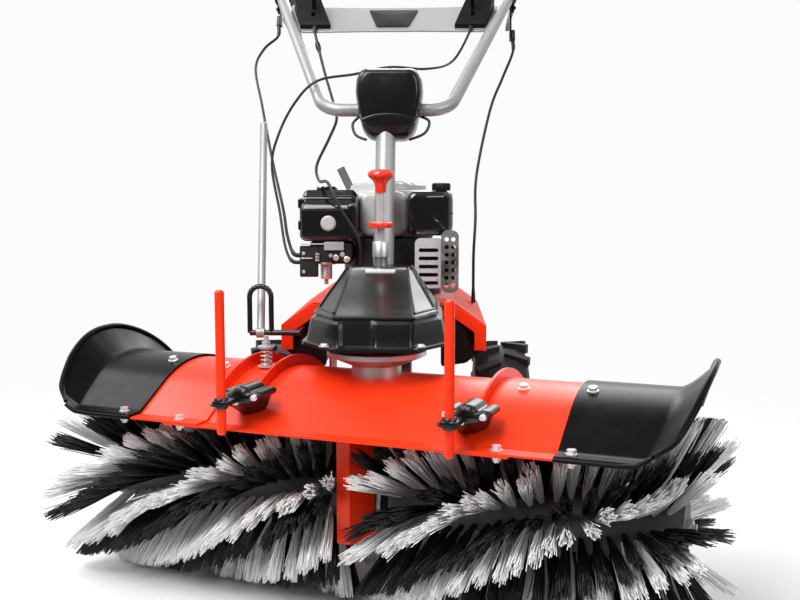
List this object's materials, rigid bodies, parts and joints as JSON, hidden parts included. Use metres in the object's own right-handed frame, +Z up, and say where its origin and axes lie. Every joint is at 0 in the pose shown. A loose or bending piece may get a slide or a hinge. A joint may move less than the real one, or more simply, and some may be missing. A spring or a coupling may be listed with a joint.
{
  "type": "power brush sweeper",
  "caption": "Walk-behind petrol sweeper: a roll brush of white and black bristles under a red hood swivels ahead of a two-wheeled drive unit with a raised handlebar.",
  "frame": {"origin": "on the floor under the middle of the machine's box", "axes": "+Z up, the brush toward -Y, the handle toward +Y, +X to the right in the picture"},
  "size_m": [1.1625, 1.3398, 1.1517],
  "materials": {
    "red_paint": "gloss",
    "black_paint": "satin",
    "black_plastic": "satin",
    "gloss_black": "gloss",
    "silver_paint": "satin",
    "silver_plastic": "gloss",
    "alloy": "satin",
    "cast_alloy": "matte",
    "steel": "satin",
    "zinc": "polished",
    "rubber": "matte",
    "tyre": "matte",
    "core": "matte",
    "white_bristle": "matte",
    "black_bristle": "matte"
  },
  "bodies": {
    "chassis": {"chassis_frame": "red_paint", "swivel_dish": "alloy", "belt_cover": "gloss_black", "transmission_case": "cast_alloy", "wheel_axle": "steel", "v_belt": "rubber", "engine_block": "cast_alloy", "blower_shroud": "silver_plastic", "air_filter_box": "gloss_black", "air_filter_disc": "silver_plastic", "carburettor": "cast_alloy", "fuel_tank": "gloss_black", "muffler": "steel", "muffler_guard": "silver_paint", "oil_filler": "silver_plastic", "column": "silver_paint", "head_cover": "black_plastic", "plunger_sleeve": "alloy", "lock_arm": "black_paint", "clutch_cables": "rubber", "shift_cable": "rubber", "throttle_cable": "rubber"},
    "brush_head": {"hood_centre": "red_paint", "left_hood_wing": "red_paint", "right_hood_wing": "red_paint", "left_end_flare": "black_plastic", "right_end_flare": "black_plastic", "swivel_collar": "alloy", "gearbox_case": "cast_alloy", "gearbox_shield": "red_paint", "post_brackets": "black_paint", "hood_bolts": "zinc", "spring_bolt": "zinc", "bolt_spring": "steel"},
    "brush_roll": {"brush_shaft": "steel", "brush_cores": "core", "white_bristles": "white_bristle", "black_bristles": "black_bristle"},
    "drive": {"drive_shaft": "steel", "driven_pulley": "alloy"},
    "crankshaft": {"engine_pulley": "steel"},
    "left_wheel": {"left_tyre": "tyre", "left_rim": "silver_paint"},
    "right_wheel": {"right_tyre": "tyre", "right_rim": "silver_paint"},
    "handle": {"handlebar": "silver_paint", "control_panel": "silver_paint", "control_boxes": "black_plastic", "lever_brackets": "black_paint", "grips": "rubber"},
    "left_hand_lever": {"left_lever": "black_plastic"},
    "right_hand_lever": {"right_lever": "black_plastic"},
    "gear_stick": {"gear_lever": "black_plastic"},
    "throttle_stick": {"throttle_lever": "black_plastic"},
    "plunger": {"plunger_rod": "zinc", "plunger_knob": "red_paint"},
    "swivel_stick": {"swivel_lever": "silver_paint"},
    "left_support": {"left_post": "red_paint"},
    "right_support": {"right_post": "red_paint"},
    "tank_cap": {"fuel_cap": "black_plastic"}
  },
  "joints": [
    {"name": "brush_swivel", "type": "hinge", "parent": "chassis", "child": "brush_head", "pos_m": [0, -0.31899, 0.4], "axis": [0, 0, 1], "range_deg": [0, 40]},
    {"name": "brush_spin", "type": "hinge", "parent": "brush_head", "child": "brush_roll", "pos_m": [0, -0.31899, 0.17], "axis": [0.9397, -0.342, 0], "continuous": true},
    {"name": "drive_spin", "type": "hinge", "parent": "brush_head", "child": "drive", "pos_m": [0, -0.31899, 0.44], "axis": [0, 0, 1], "continuous": true},
    {"name": "engine_spin", "type": "hinge", "parent": "chassis", "child": "crankshaft", "pos_m": [0, 0.10101, 0.44], "axis": [0, 0, 1], "continuous": true},
    {"name": "left_wheel_spin", "type": "hinge", "parent": "chassis", "child": "left_wheel", "pos_m": [-0.23, 0.18101, 0.175], "axis": [1, 0, 0], "continuous": true},
    {"name": "right_wheel_spin", "type": "hinge", "parent": "chassis", "child": "right_wheel", "pos_m": [0.23, 0.18101, 0.175], "axis": [1, 0, 0], "continuous": true},
    {"name": "handle_tilt", "type": "hinge", "parent": "chassis", "child": "handle", "pos_m": [0, 0.01222, 0.815], "axis": [1, 0, 0], "range_deg": [-10, 15], "deforming": ["clutch_cables", "shift_cable", "throttle_cable"]},
    {"name": "left_lever_squeeze", "type": "hinge", "parent": "handle", "child": "left_hand_lever", "pos_m": [-0.2676, 0.46403, 1.08], "axis": [1, 0, 0], "range_deg": [0, 12], "stiffness_Nm_per_rad": 1.5, "springref_deg": -11.46},
    {"name": "right_lever_squeeze", "type": "hinge", "parent": "handle", "child": "right_hand_lever", "pos_m": [0.2676, 0.46403, 1.08], "axis": [1, 0, 0], "range_deg": [0, 12], "stiffness_Nm_per_rad": 1.5, "springref_deg": -11.46},
    {"name": "gear_lever_throw", "type": "hinge", "parent": "handle", "child": "gear_stick", "pos_m": [-0.172, 0.33212, 1.0485], "axis": [1, 0, 0], "range_deg": [-20, 20]},
    {"name": "throttle_lever_throw", "type": "hinge", "parent": "handle", "child": "throttle_stick", "pos_m": [0.172, 0.33212, 1.0485], "axis": [1, 0, 0], "range_deg": [-20, 20]},
    {"name": "plunger_pull", "type": "slide", "parent": "chassis", "child": "plunger", "axis": [0, 0, 1], "range_m": [0, 0.02], "stiffness_N_per_m": 400, "springref_m": -0.015},
    {"name": "swivel_lever_throw", "type": "hinge", "parent": "chassis", "child": "swivel_stick", "pos_m": [-0.213, -0.16899, 0.415], "axis": [1, 0, 0], "range_deg": [0, 15]},
    {"name": "left_post_slide", "type": "slide", "parent": "brush_head", "child": "left_support", "axis": [0, 0, 1], "range_m": [-0.04, 0.04]},
    {"name": "right_post_slide", "type": "slide", "parent": "brush_head", "child": "right_support", "axis": [0, 0, 1], "range_m": [-0.04, 0.04]},
    {"name": "fuel_cap_turn", "type": "hinge", "parent": "chassis", "child": "tank_cap", "pos_m": [0.104, -0.03299, 0.67], "axis": [0, 0, 1], "range_deg": [0, 90]}
  ],
  "couplings": [
    {"joint": "drive_spin", "follows": "brush_spin", "ratio": -2},
    {"joint": "engine_spin", "follows": "brush_spin", "ratio": -3.95}
  ]
}
